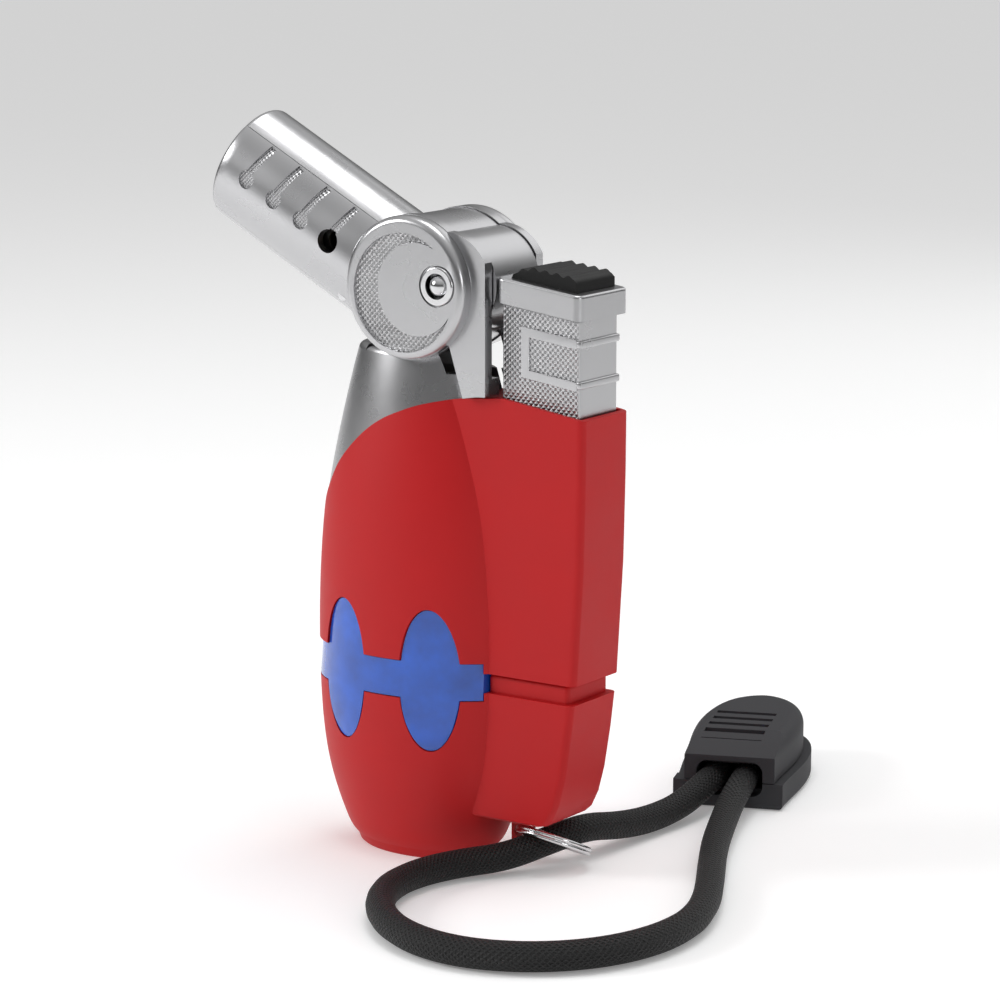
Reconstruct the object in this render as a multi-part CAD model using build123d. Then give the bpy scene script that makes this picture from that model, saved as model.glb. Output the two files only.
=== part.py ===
"""Folding pocket butane torch with its lanyard, one STEP file for each separate piece.

Frame: millimetres, +Z up, origin at the middle of the flat foot. X runs from the flame side (-X) to
the trigger side (+X), and Y is the thickness, about which the torch is nearly symmetric.
"""

from build123d import *
from math import atan2, cos, degrees, pi, radians, sin, sqrt, tan
import os

# ---- driving dimensions -------------------------------------------------------------------------
# belly: an upright barrel of oval section, half-widths along X at these heights
BELLY = [(7.4, 0.0), (8.0, 0.9), (9.2, 2.4), (11.0, 7.2), (11.95, 12.3), (12.33, 19.4), (12.2, 28.0),
         (11.45, 36.3), (9.96, 43.5), (8.74, 48.3), (7.55, 52.4)]
ASPECT = 0.65  # thickness over width of the barrel
SHELL_WALL = 1.1
FIT = 0.1  # clearance between pieces that are fitted together

# housing: the box beside the belly that holds the trigger and the igniter
HOUSING_RIGHT = 21.75
HOUSING_HALF = 4.15
HOUSING_FLOOR = 5.2
HOUSING_LEFT = 3.0
# the housing's right face, from the floor up
HOUSING_EDGE = [(16.2, 5.25), (17.6, 5.9), (18.7, 7.8), (19.4, 10.5), (20.1, 14.8), (20.8, 20.5), (21.5, 32.0),
                (21.7, 41.0), (21.75, 53.0)]
SHELL_CREST = [(-12.8, 32.0), (-9.3, 37.3), (-7.1, 40.45), (-3.9, 43.5), (-1.3, 45.3), (1.1, 46.4),
               (3.4, 47.2), (6.9, 47.9), (12.3, 48.4)]
CREST_FALL = 0.15  # slope of the housing's top towards +X
BELT_Z = 19.45
BELT_HALF = 1.95
WINDOW_X = 5.25
WINDOW_HALF_X = 3.15
WINDOW_HALF_Z = 7.35

# hinge head
DISC_X = 2.0
DISC_Z = 58.85
DISC_R = 7.2
EAR_IN = 3.9
EAR_OUT = 5.1
DISC_OUT = 6.7
PIN_X = 6.15
PIN_Z = 59.35
PIN_R = 1.1
BOSS_R = 5.1  # knuckle boss about the pin
EAR_RIGHT = 10.8
EAR_TOP = 61.4
SLOT_FLOOR = 50.2

# burner arm, pointing up towards -X
ARM_RISE = 28.0
ARM_TIP = (-22.2, 69.6)
ARM_HALF_N = 6.3
ARM_HALF_Y = 5.5
ARM_WALL = 0.9
COVER_Y = 3.6
KNUCKLE_R = 7.05
KNUCKLE_HALF = 3.75
AIR_HOLE_AT = (15.6, 0.5)  # along the arm from its tip, and across it
MARK_START = 3.9  # the four recesses of the near cover, along the arm
MARK_STEP = 3.9
MARK_RISE = 0.6

# trigger
BOX_LEFT = 11.7
BOX_RIGHT = 20.8
BOX_HALF = 3.4
BOX_WALL = 0.7
CAP_LEFT = 11.6
CAP_RIGHT = 21.45
CAP_HALF = 4.4
CAP_TOP = 60.5  # at its left edge
CAP_FALL = 0.13
CAP_DEEP = 2.5
TRIGGER_TRAVEL = 4.5

# lanyard
CORD_D = 2.9
CLIP_FRONT = (19.0, 29.0)
CLIP_TURN = 20.6  # degrees from +Y towards -X
CORD_ROUTE = [
    (16.4, 31.2, 3.3), (17.3, 26.4, 2.8), (17.6, 21.1, 1.85), (17.2, 15.6, 1.6), (16.8, 10.2, 2.2),
    (16.3, 5.2, 3.25), (15.3, 0.2, 2.95), (12.9, -4.5, 1.8), (9.7, -8.6, 1.6), (8.2, -13.6, 1.55),
    (8.7, -19.0, 1.55), (11.4, -24.2, 1.55), (15.8, -28.4, 1.55), (21.2, -31.0, 1.55), (27.0, -31.3, 1.55),
    (32.6, -28.9, 1.55), (36.9, -24.4, 1.55), (39.2, -18.4, 1.55), (39.2, -11.8, 1.55), (37.0, -5.4, 1.55),
    (33.8, 0.6, 1.55), (30.4, 6.6, 1.55), (27.2, 12.6, 1.6), (24.5, 18.6, 1.9), (22.0, 24.8, 2.7),
    (19.4, 32.4, 3.3),
]
RING_R = 3.75
RING_WIRE = 0.45
RING_TILT = 25.0  # the ring's near side is the higher one
LUG_X = 12.0
LUG_Z = 3.35


# ---- small helpers ------------------------------------------------------------------------------
def block(x0, x1, y0, y1, z0, z1):
    """A box between two corners."""
    return Pos((x0 + x1) / 2, (y0 + y1) / 2, (z0 + z1) / 2) * Box(x1 - x0, y1 - y0, z1 - z0)


def rod(x, y, z0, z1, radius, bore=0.0):
    """An upright cylinder, hollow if it has a bore."""
    solid = Pos(x, y, (z0 + z1) / 2) * Cylinder(radius, z1 - z0)
    if bore:
        solid -= Pos(x, y, (z0 + z1) / 2) * Cylinder(bore, z1 - z0 + 1)
    return solid


def cross_rod(x, z, y0, y1, radius, bore=0.0):
    """A cylinder along Y, hollow if it has a bore."""
    place = Pos(x, (y0 + y1) / 2, z) * Rot(90, 0, 0)
    solid = place * Cylinder(radius, y1 - y0)
    if bore:
        solid -= place * Cylinder(bore, y1 - y0 + 1)
    return solid


def slab(outline, y0, y1):
    """A face drawn as (X, Z) and extruded along Y from y0 to y1."""
    face = Plane((0, y0, 0), x_dir=(1, 0, 0), z_dir=(0, -1, 0)) * outline
    return extrude(face, amount=y1 - y0, dir=(0, 1, 0))


def crest_at(x):
    """Height of the red shell's edge where it is straight."""
    return SHELL_CREST[-1][1] - CREST_FALL * (x - SHELL_CREST[-1][0])


def above_crest():
    """Everything above the red shell's curved top edge."""
    left, right, top = -30.0, 30.0, 90.0
    curve = Spline(*SHELL_CREST, tangents=((0.45, 0.9), (1, -CREST_FALL)))
    rest = Polyline(SHELL_CREST[-1], (right, crest_at(right)), (right, top), (left, top),
                    (left, SHELL_CREST[0][1]), SHELL_CREST[0])
    return slab(make_face(curve + rest), -20, 20)


def belly(inset=0.0, low=0.0, high=BELLY[-1][1]):
    """The barrel between two heights, with its surface moved inwards."""
    sections = [Pos(0, 0, z) * Ellipse(x - inset, (x - inset) * ASPECT) for x, z in BELLY]
    return loft(sections) & block(-20, 20, -20, 20, low, high)


def housing():
    """The box beside the belly, narrowing downwards, with its long edges rounded."""
    low, high = HOUSING_FLOOR, HOUSING_EDGE[-1][1]
    outline = Polyline((HOUSING_EDGE[0][0], low), *HOUSING_EDGE, (HOUSING_LEFT, high), (HOUSING_LEFT, low),
                       (HOUSING_EDGE[0][0], low))
    solid = slab(make_face(outline), -HOUSING_HALF, HOUSING_HALF)
    rounded = [e for e in solid.edges() if abs(abs(e.center().Y) - HOUSING_HALF) < 0.01
               and e.center().X > 14 and low + 0.1 < e.center().Z < high - 0.1]
    return fillet(rounded, 0.5)


def oval(x, z, half_x, half_z, y0, y1):
    """An upright elliptical prism along Y."""
    return slab(Pos(x, z) * Ellipse(half_x, half_z), y0, y1)


def window_cut(gap):
    """The two windows on each side and the belt that joins them, smaller by gap."""
    cut = block(-14, 10.2 - gap, -9, 9, BELT_Z - BELT_HALF + gap, BELT_Z + BELT_HALF - gap)
    for x in (-WINDOW_X, WINDOW_X):
        cut += oval(x, BELT_Z, WINDOW_HALF_X - gap, WINDOW_HALF_Z - gap, -9, 9)
    return cut


# ---- casing -------------------------------------------------------------------------------------
RIB_ROOM = 0.25  # extra room in the well for the trigger's raised ribs and frames
TRIGGER_WELL = block(BOX_LEFT - FIT, BOX_RIGHT + FIT + RIB_ROOM, -BOX_HALF - RIB_ROOM, BOX_HALF + RIB_ROOM,
                     31.0, 60)
IGNITER = {"left": 13.1, "right": 19.3, "half": 2.45, "low": 13.5, "high": 34.0}


def igniter_well():
    """The pocket that holds the igniter's case."""
    return block(IGNITER["left"] - FIT, IGNITER["right"] + FIT, -IGNITER["half"] - FIT,
                 IGNITER["half"] + FIT, IGNITER["low"] - FIT, 31.1)


def wire_channel():
    """The passage for the ignition wire beside the tank and through the neck's wall."""
    return block(10.3, 11.9, 1.6, 3.4, 31.4, 38.2) + block(6.8, 11.55, 2.0, 3.4, 36.2, 38.2)


def casing():
    """Both red shells as one hollow solid, before they are parted at the belt."""
    solid = belly() + housing()
    solid -= belly(SHELL_WALL, SHELL_WALL + 0.4)
    solid -= above_crest()
    solid -= TRIGGER_WELL + igniter_well()
    solid -= block(8.2, BOX_LEFT, -1.6, 1.6, 36.5, 60)
    return solid - wire_channel()


def upper_shell():
    """The red shell above the belt."""
    keep = block(-30, 30, -20, 20, BELT_Z + FIT / 2, 60)
    keep += block(10.0, 30, -20, 20, 20.35, 60)
    solid = (casing() & keep) - window_cut(0)
    return solid - block(10.0, 30, -20, 20, 10, 20.35)


def lower_shell():
    """The red shell below the belt, with the foot, the inset band and the lanyard lug."""
    keep = block(-30, 30, -20, 20, -1, BELT_Z - FIT / 2) - block(10.0, 30, -20, 20, 18.35, 30)
    band = casing() & block(10.0, 30, -20, 20, 18.3, 20.25)
    band &= block(0, HOUSING_RIGHT - 1.9, -HOUSING_HALF + 0.55, HOUSING_HALF - 0.55, 10, 30)
    solid = (casing() & keep) + band
    solid -= window_cut(0)
    lug = block(LUG_X - 1.3, LUG_X + 1.3, -0.5, 0.5, LUG_Z - 1.25, HOUSING_FLOOR + 0.6)
    lug = fillet(lug.edges().filter_by(Axis.Y).group_by(Axis.Z)[0], 1.0)
    lug -= cross_rod(LUG_X, LUG_Z, -2, 2, 0.78)
    solid += lug
    solid -= rod(FILL_X, 0, -1, 4, FILL_R + 0.05) + rod(ADJUST_X, 0, -1, 4, ADJUST_R + 0.05)
    return solid


# ---- fuel side ----------------------------------------------------------------------------------
FILL_X = 3.6
FILL_R = 1.9
ADJUST_X = -3.7
ADJUST_R = 1.6
TANK_FLOOR = 3.0
TANK_TOP = 33.0
TANK_WALL = 0.9
LID_TOP = 35.2


def fuel_tank():
    """The clear blue tank: a hollow barrel whose windows and belt stand out through the shells."""
    outer = belly(SHELL_WALL + FIT, TANK_FLOOR, TANK_TOP)
    outer += belly(0.22, 8, 32) & window_cut(FIT)
    outer -= block(IGNITER["left"] - 2 * FIT - 0.6, 30, -9, 9, -1, 60) & housing()
    inner = belly(SHELL_WALL + FIT + TANK_WALL, TANK_FLOOR + TANK_WALL, TANK_TOP + 1)
    inner &= block(-20, 10.2, -20, 20, 0, 60)
    solid = outer - inner
    bosses = rod(FILL_X, 0, TANK_FLOOR, 9, 2.6) + rod(ADJUST_X, 0, TANK_FLOOR, 6.5, 2.4)
    solid += bosses
    solid -= rod(FILL_X, 0, 0, 7.5, FILL_R) + rod(FILL_X, 0, 0, 12, 0.75)
    solid -= rod(ADJUST_X, 0, 0, 5.4, 1.15)
    return solid


def tank_lid():
    """The moulded lid of the tank, with the two posts that carry the valve lever."""
    lid = belly(SHELL_WALL + FIT, TANK_TOP + 0.5, LID_TOP)
    plug = belly(SHELL_WALL + FIT + TANK_WALL + FIT, TANK_TOP - 1.6, TANK_TOP + 0.5) & block(-20, 10.0, -9, 9, 0, 60)
    lid = (lid & block(-20, 11.2, -9, 9, 0, 60)) + plug
    posts = block(LEVER_X - 1.4, LEVER_X + 1.4, -3.2, -2.0, LID_TOP - 0.1, LEVER_Z + 1.5)
    posts += mirror(posts, Plane.XZ)
    lid += posts
    lid -= cross_rod(LEVER_X, LEVER_Z, -5, 5, 0.62)
    lid -= rod(VALVE_X, 0, 20, 50, 2.05)
    return lid


def tank_seal():
    """The flat gasket between the tank and its lid."""
    ring = belly(SHELL_WALL + FIT + 0.05, TANK_TOP, TANK_TOP + 0.5)
    ring -= belly(SHELL_WALL + FIT + TANK_WALL + FIT, TANK_TOP - 1, TANK_TOP + 1)
    return ring & block(-20, 9.6, -9, 9, 0, 60) - block(9.4, 20, -9, 9, 0, 60)


LEVER_X = 0.6
LEVER_Z = 42.6
VALVE_X = -2.2


def gas_valve_body():
    """The brass valve pressed into the lid, with a side outlet for the hose."""
    solid = rod(VALVE_X, 0, 27.0, 37.6, 2.05)
    solid += rod(VALVE_X, 0, 35.2, 36.0, 2.3)
    outlet = Pos(VALVE_X - 2.3, 0, 36.9) * Rot(0, 90, 0) * Cylinder(0.65, 1.6)
    solid += outlet
    solid -= rod(VALVE_X, 0, 28.0, 38.5, 1.45)
    solid -= rod(VALVE_X, 0, 26.0, 29.0, 0.5)
    return solid


def valve_stem():
    """The stem that the lever lifts to let gas out."""
    solid = rod(VALVE_X, 0, 29.5, 44.6, 0.6)
    solid += rod(VALVE_X, 0, 29.5, 30.6, 1.4)
    solid += rod(VALVE_X, 0, 43.45, 44.2, 1.25)
    return solid


def valve_spring():
    """The light coil that holds the valve stem down."""
    return coil(VALVE_X, 0, 30.9, 37.2, 1.0, 0.17, 6)


def coil(x, y, low, high, radius, wire, turns):
    """A helical spring standing along Z."""
    path = Pos(x, y, low) * Helix(pitch=(high - low) / turns, height=high - low, radius=radius)
    section = Plane(origin=path @ 0, z_dir=path % 0) * Circle(wire)
    return sweep(section, path=path, is_frenet=True)


def valve_lever():
    """The lever between the trigger's tab and the valve stem, forked round the stem."""
    half = 1.0
    solid = block(LEVER_X - 4.4, 11.2, -half, half, LEVER_Z - 0.4, LEVER_Z + 0.4)
    solid += cross_rod(LEVER_X, LEVER_Z, -1.8, 1.8, 1.15)
    solid -= cross_rod(LEVER_X, LEVER_Z, -3, 3, 0.65)
    fork = block(LEVER_X - 4.5, LEVER_X - 2.0, -0.78, 0.78, LEVER_Z - 2, LEVER_Z + 2)
    solid += block(LEVER_X - 4.4, LEVER_X - 1.4, -1.7, 1.7, LEVER_Z - 0.4, LEVER_Z + 0.4)
    return solid - fork


def lever_pin():
    """The pin through both posts and the lever."""
    return cross_rod(LEVER_X, LEVER_Z, -3.2, 3.2, 0.6)


def wick():
    """The wick that feeds the valve from the bottom of the tank."""
    return rod(VALVE_X, 0, 6.8, 26.9, 0.9)


def gas_hose():
    """The soft hose from the valve's outlet up to the hinge."""
    points = [(VALVE_X - 3.1, 0, 36.9), (VALVE_X - 5.0, 0, 36.95), (VALVE_X - 5.0, 0, 41.0),
              (VALVE_X - 2.4, 0, 46.2), (-1.2, 0, 49.4)]
    path = FilletPolyline(*points, radius=1.0)
    section = Plane(origin=path @ 0, z_dir=path % 0)
    return sweep(section * Circle(0.75), path=path) - sweep(section * Circle(0.4), path=path)


def fill_valve_body():
    """The brass filling valve in the foot."""
    solid = rod(FILL_X, 0, 0.9, 7.4, FILL_R) - rod(FILL_X, 0, 2.0, 8.0, 1.25) - rod(FILL_X, 0, 0, 3, 0.75)
    return solid


def fill_valve_stem():
    """The stem that a gas can's nozzle pushes in."""
    return rod(FILL_X, 0, 0.95, 5.0, 0.7) + rod(FILL_X, 0, 3.1, 4.0, 1.15)


def fill_valve_spring():
    """The coil that closes the filling valve."""
    return coil(FILL_X, 0, 4.25, 7.1, 0.95, 0.15, 4)


def fill_valve_seal():
    """The washer that the filling stem closes against."""
    return rod(FILL_X, 0, 2.0, 3.0, 1.2, 0.75)


def flame_adjuster():
    """The slotted screw in the foot that sets the gas flow."""
    solid = rod(ADJUST_X, 0, 0.35, 2.3, ADJUST_R - 0.05) + rod(ADJUST_X, 0, 2.2, 5.2, 1.1)
    return solid - block(ADJUST_X - 2, ADJUST_X + 2, -0.3, 0.3, 0, 1.1)


# ---- hinge head ---------------------------------------------------------------------------------
def ear_outline():
    """Side outline of an ear: the disc, the shoulder about the pin and the upright behind it."""
    disc = Pos(DISC_X, DISC_Z) * Circle(DISC_R)
    shoulder = Pos(PIN_X, PIN_Z) * Circle(BOSS_R + 0.15)
    upright = make_face(Polyline((PIN_X + 3.0, EAR_TOP + 1.0), (EAR_RIGHT, EAR_TOP), (EAR_RIGHT, 45.0),
                                 (9.1, 45.0), (6.4, 53.6), (3.0, DISC_Z), (PIN_X + 3.0, EAR_TOP + 1.0)))
    trim = Pos(EAR_RIGHT + 5, 55) * Rectangle(10, 40)
    return disc + shoulder + upright - trim


def neck_frame():
    """The bright casting: the neck that rises out of the shell and the two ears of the hinge."""
    cone_top = BELLY[-1][1]
    outside = belly(0.2, 30, cone_top) & above_crest()
    cone_edge = [e for e in outside.edges() if abs(e.center().Z - cone_top) < 0.01]
    outside = fillet(cone_edge, 0.8)
    inside = belly(SHELL_WALL + FIT, 35.4, cone_top) - (above_crest() - belly(0.2, 30, cone_top))
    cone = outside + inside
    cone -= belly(2.2, 30, cone_top - 2.6)
    cone -= block(-4.6, EAR_RIGHT + 1, -EAR_IN, EAR_IN, SLOT_FLOOR, 80)
    ears = slab(ear_outline(), -EAR_OUT, EAR_OUT) - block(-20, 20, -EAR_IN, EAR_IN, SLOT_FLOOR, 80)
    ears &= above_crest() + belly(2.0, 36, 60)
    solid = cone + ears
    solid -= block(-4.2, EAR_RIGHT + 1, -2.6, 2.6, 36, 60)
    solid -= belly(2.2, 36, SLOT_FLOOR + 0.1) & block(-20, 20, -EAR_IN, EAR_IN, 30, 60)
    solid -= cross_rod(PIN_X, PIN_Z, -9, 9, PIN_R)
    solid -= TRIGGER_WELL + wire_channel()
    keep = block(-30, EAR_RIGHT, -20, 20, 30, 80)
    return solid & keep


def disc_cover(side):
    """The round cover on an ear, with its crescent recess and the seat of the pin's collar."""
    disc = slab(Pos(DISC_X, DISC_Z) * Circle(DISC_R), EAR_OUT, DISC_OUT)
    disc = fillet(disc.edges().filter_by(GeomType.CIRCLE).group_by(Axis.Y)[-1], 0.55)
    moon = Pos(1.95, 58.4) * Circle(5.95) - Pos(3.6, 58.84) * Circle(4.65)
    disc -= slab(moon, DISC_OUT - 0.3, DISC_OUT + 1)
    disc -= cross_rod(PIN_X, PIN_Z, EAR_OUT - 1, DISC_OUT + 1, COLLAR_R)
    return disc if side > 0 else mirror(disc, Plane.XZ)


COLLAR_R = 1.95


def hinge_collar(side):
    """The bright ring round the end of the hinge pin."""
    ring = cross_rod(PIN_X, PIN_Z, EAR_OUT, DISC_OUT + 0.12, COLLAR_R, 1.3)
    ring = fillet(ring.edges().filter_by(GeomType.CIRCLE).group_by(Axis.Y)[-1][0], 0.2)
    return ring if side > 0 else mirror(ring, Plane.XZ)


def hinge_pin():
    """The riveted pin through both ears and the knuckle, with domed ends."""
    solid = cross_rod(PIN_X, PIN_Z, -DISC_OUT + 0.4, DISC_OUT - 0.4, PIN_R)
    for side in (-1, 1):
        dome = Pos(PIN_X, side * (DISC_OUT - 0.75), PIN_Z) * Sphere(1.16)
        solid += dome & block(0, 20, -9, 9, 50, 70) - block(0, 20, -EAR_OUT - 0.6, EAR_OUT + 0.6, 50, 70)
    return solid


# ---- burner arm ---------------------------------------------------------------------------------
ALONG = Vector(cos(radians(ARM_RISE)), 0, -sin(radians(ARM_RISE)))  # from the tip towards the hinge
ACROSS = Vector(sin(radians(ARM_RISE)), 0, cos(radians(ARM_RISE)))
ARM_LENGTH = 27.0
COVER_FIT = 0.04
RIVET_AT = (19.0, -3.9)  # distance from the tip and offset across the arm


def on_arm(s, n=0.0, y=0.0):
    """A point by its distance from the tip, its offset across the arm and its Y."""
    return Vector(ARM_TIP[0], y, ARM_TIP[1]) + ALONG * s + ACROSS * n


def arm_plane(s):
    """The section plane at a distance from the tip: local X across the arm, local Y along +Y."""
    return Plane(origin=on_arm(s), x_dir=ACROSS, z_dir=ALONG)


def arm_tube(half_n, half_y, start, end):
    """An oval bar along the arm."""
    return extrude(arm_plane(start) * Ellipse(half_n, half_y), amount=end - start)


def arm_rod(radius, start, end, bore=0.0, n=0.0, y=0.0):
    """A round bar along the arm, hollow if it has a bore."""
    place = arm_plane(start) * Pos(n, y, 0)
    solid = extrude(place * Circle(radius), amount=end - start)
    if bore:
        solid -= extrude(arm_plane(start - 0.5) * Pos(n, y, 0) * Circle(bore), amount=end - start + 1)
    return solid


def disc_relief():
    """The room that the ears and their covers need as the arm swings about the pin."""
    grow = 0.2
    relief = Pos(DISC_X, DISC_Z) * Circle(DISC_R)
    reach = sqrt((PIN_X - DISC_X) ** 2 + (PIN_Z - DISC_Z) ** 2) + DISC_R + grow
    swept = Pos(PIN_X, PIN_Z) * Circle(reach)
    below = make_face(Polyline((PIN_X, PIN_Z), (PIN_X - 30, PIN_Z - 3.4), (PIN_X - 30, PIN_Z - 30),
                               (PIN_X + 20, PIN_Z - 30), (PIN_X + 20, PIN_Z), (PIN_X, PIN_Z)))
    right = Pos(DISC_X + 15, DISC_Z) * Rectangle(30, 30)
    return relief + (swept & below) + right


def arm_body():
    """The oval tube outside and inside, whole, before it is parted into frame and covers."""
    outer = arm_tube(ARM_HALF_N, ARM_HALF_Y, 0, ARM_LENGTH)
    rim = outer.edges().filter_by(GeomType.ELLIPSE).sort_by(Axis.X)[0]
    outer = fillet(rim, 0.55)
    return outer


def arm_frame():
    """The middle casting of the arm, with the knuckle that turns on the hinge pin."""
    bar = arm_body() & block(-60, 60, -COVER_Y, COVER_Y, 0, 120)
    root = Pos(DISC_X, DISC_Z) * Circle(KNUCKLE_R) + Pos(PIN_X, PIN_Z) * Circle(BOSS_R)
    solid = bar + slab(root, -KNUCKLE_HALF, KNUCKLE_HALF)
    solid -= arm_tube(ARM_HALF_N - ARM_WALL, ARM_HALF_Y - ARM_WALL, -1, 22.0)
    solid -= cross_rod(PIN_X, PIN_Z, -9, 9, PIN_R + 0.03)
    solid -= arm_rod(1.05, 20, 34)
    place = on_arm(*RIVET_AT)
    return solid - cross_rod(place.X, place.Z, -9, 9, 0.8)


def thermometer(index):
    """One knurled keyhole recess in the near cover, as a cutter."""
    s = MARK_START + MARK_STEP * index
    bulb = Pos(on_arm(s, MARK_RISE)) * Rot(90, 0, 0) * Cylinder(0.95, 20)
    start = on_arm(s, MARK_RISE)
    end = on_arm(s + 0.65, MARK_RISE + 4.0)
    mid = (start + end) * 0.5
    angle = degrees(atan2((end - start).Z, (end - start).X))
    stem = Pos(mid) * Rot(0, -angle, 0) * Box((end - start).length, 20, 0.8)
    return bulb + stem


def arm_cover(side):
    """A side cover of the arm, with its recesses and the air hole."""
    cover = arm_body() - arm_tube(ARM_HALF_N - ARM_WALL, ARM_HALF_Y - ARM_WALL, -1, 40)
    cover &= block(-60, 60, COVER_Y + COVER_FIT, 9, 0, 120)
    cover -= slab(disc_relief(), 0, 9)
    skin = arm_tube(ARM_HALF_N - 0.22, ARM_HALF_Y - 0.22, -1, 40)
    for index in range(4):
        cover -= thermometer(index) - skin
    cover -= Pos(on_arm(*AIR_HOLE_AT)) * Rot(90, 0, 0) * Cylinder(1.2, 20)
    cover -= arm_rivet()
    return cover if side > 0 else mirror(cover, Plane.XZ)


def burner_tube():
    """The steel flame tube."""
    tube = arm_rod(3.85, 0.9, 17.4, 3.6)
    hole = Pos(on_arm(*AIR_HOLE_AT)) * Rot(90, 0, 0) * Cylinder(1.0, 20)
    return tube - hole


def flame_holder():
    """The perforated disc that the flame sits on."""
    disc = arm_rod(3.58, 6.6, 8.6)
    cut = arm_rod(0.55, 6, 9)
    for step in range(6):
        turn = radians(60 * step)
        cut += arm_rod(0.5, 6, 9, 0, 1.9 * cos(turn), 1.9 * sin(turn))
    return disc - cut - arm_rod(0.42, 5, 9, 0, 1.45, 2.3)


def mixer_jet():
    """The brass jet that throws gas and air into the flame tube."""
    return arm_rod(3.58, 16.2, 17.6, 0.3) + arm_rod(1.5, 17.6, 20.4, 0.3)


def feed_tube():
    """The brass tube that carries gas from the hinge to the jet."""
    return arm_rod(0.95, 20.4, 26.6, 0.45)


def electrode_insulator():
    """The ceramic sleeve of the spark electrode."""
    return arm_rod(0.62, 4.4, 15.0, 0.24, 4.72)


def electrode_rod():
    """The spark wire, bent over the middle of the flame tube."""
    straight = arm_rod(0.22, 2.0, 16.2, 0, 4.72)
    tip = Pos(on_arm(2.15, 4.37)) * Rot(0, ARM_RISE, 0) * Cylinder(0.22, 1.0)
    return straight + tip


def arm_rivet():
    """The rivet across the arm that ties its two covers together."""
    place = on_arm(*RIVET_AT)
    return cross_rod(place.X, place.Z, -4.2, 4.2, 0.6)


# ---- trigger ------------------------------------------------------------------------------------
def slope_cut(z_left, rise, x0=0.0, x1=30.0):
    """Everything above the trigger's sloping plane, which is at z_left over the cap's left edge."""
    points = [(x, z_left - CAP_FALL * (x - CAP_LEFT)) for x in (x0, x1)]
    outline = Polyline(*points, (x1, z_left + rise), (x0, z_left + rise), points[0])
    return slab(make_face(outline), -12, 12)


def trigger_body():
    """The knurled box of the trigger, open below, with the web that pushes the igniter."""
    under_cap = CAP_TOP - CAP_DEEP
    solid = block(BOX_LEFT, BOX_RIGHT, -BOX_HALF, BOX_HALF, 37.6, 62) - slope_cut(under_cap, 20)
    solid = fillet(solid.edges().filter_by(Axis.Z), 0.35)
    hollow = block(BOX_LEFT + BOX_WALL, BOX_RIGHT - BOX_WALL, -BOX_HALF + BOX_WALL, BOX_HALF - BOX_WALL, 30, 44.2)
    hollow += block(BOX_LEFT + 1.5, BOX_RIGHT - 1.5, -2.2, 2.2, 46, 54)
    solid -= hollow
    for z in (54.3, 50.3):
        rib = Pos(BOX_RIGHT - 0.15, 0, z) * Rot(90, 0, 0) * Cylinder(0.42, 2 * BOX_HALF - 0.4)
        solid += rib
    for side in (-1, 1):
        frame = make_face(Polyline((14.0, 55.75), (BOX_RIGHT, 54.6), (BOX_RIGHT, 49.5), (14.0, 50.6), (14.0, 55.75)))
        inner = make_face(Polyline((14.95, 54.7), (BOX_RIGHT + 1, 53.6), (BOX_RIGHT + 1, 50.5), (14.95, 51.5),
                                   (14.95, 54.7)))
        raised = slab(frame - inner, BOX_HALF - 0.1, BOX_HALF + 0.16)
        solid += raised if side > 0 else mirror(raised, Plane.XZ)
    tab = block(9.6, BOX_LEFT + 0.5, -1.2, 1.2, LEVER_Z + 0.75, LEVER_Z + 1.95)
    return solid + tab


def trigger_cap():
    """The plain metal cap on top of the trigger."""
    low = slope_cut(CAP_TOP - CAP_DEEP, 20)
    top = slope_cut(CAP_TOP, 20)
    solid = (block(CAP_LEFT, CAP_RIGHT, -CAP_HALF, CAP_HALF, 50, 66) & low) - top
    solid = fillet(solid.edges().filter_by(Axis.Z), 0.8)
    upper = [e for e in solid.edges() if e.center().Z > CAP_TOP - CAP_FALL * (e.center().X - CAP_LEFT) - 0.1]
    return fillet(upper, 0.3)


def thumb_pad():
    """The ribbed rubber pad on the cap."""
    left, right, half, high = 12.6, 20.5, 3.45, 1.35
    solid = block(left, right, -half, half, 55, 70) & slope_cut(CAP_TOP + 0.02, 20)
    solid -= slope_cut(CAP_TOP + high, 20)
    ramp = make_face(Polyline((left - 1, CAP_TOP - 1), (left + 2.6, CAP_TOP + high + 0.6),
                              (left - 1, CAP_TOP + high + 3), (left - 1, CAP_TOP - 1)))
    solid -= slab(ramp, -9, 9)
    solid = fillet(solid.edges().filter_by(Axis.Z), 1.1)
    for step in range(5):
        x = left + 2.9 + 1.05 * step
        z = CAP_TOP + high - CAP_FALL * (x - CAP_LEFT)
        solid += Pos(x, 0, z) * Rot(90, 0, 0) * Cylinder(0.3, 2 * half - 1.6)
    return solid


def piezo_case():
    """The igniter's plastic case, open at the top."""
    g = IGNITER
    solid = block(g["left"], g["right"], -g["half"], g["half"], g["low"], g["high"])
    return solid - block(g["left"] + 0.7, g["right"] - 0.7, -g["half"] + 0.6, g["half"] - 0.6, g["low"] + 0.8, 40)


def piezo_plunger():
    """The igniter's sliding half, pushed by the trigger."""
    g = IGNITER
    body = block(g["left"] + 0.8, g["right"] - 0.8, -g["half"] + 0.7, g["half"] - 0.7, 27.5, 44.2)
    return body - rod(16.2, 0, 26, 31, 1.75)


def trigger_spring():
    """The return spring inside the igniter."""
    return coil(16.2, 0, IGNITER["low"] + 1.1, 30.7, 1.4, 0.22, 8)


def ignition_wire():
    """The insulated wire from the igniter to the hinge."""
    points = [(13.07, 1.9, 32.3), (11.0, 2.7, 32.3), (11.0, 2.7, 37.2), (7.0, 2.7, 37.3), (4.6, 2.9, 41.5),
              (3.6, 3.0, 49.0)]
    path = FilletPolyline(*points, radius=0.6)
    return sweep(Plane(origin=path @ 0, z_dir=path % 0) * Circle(0.35), path=path)


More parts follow.
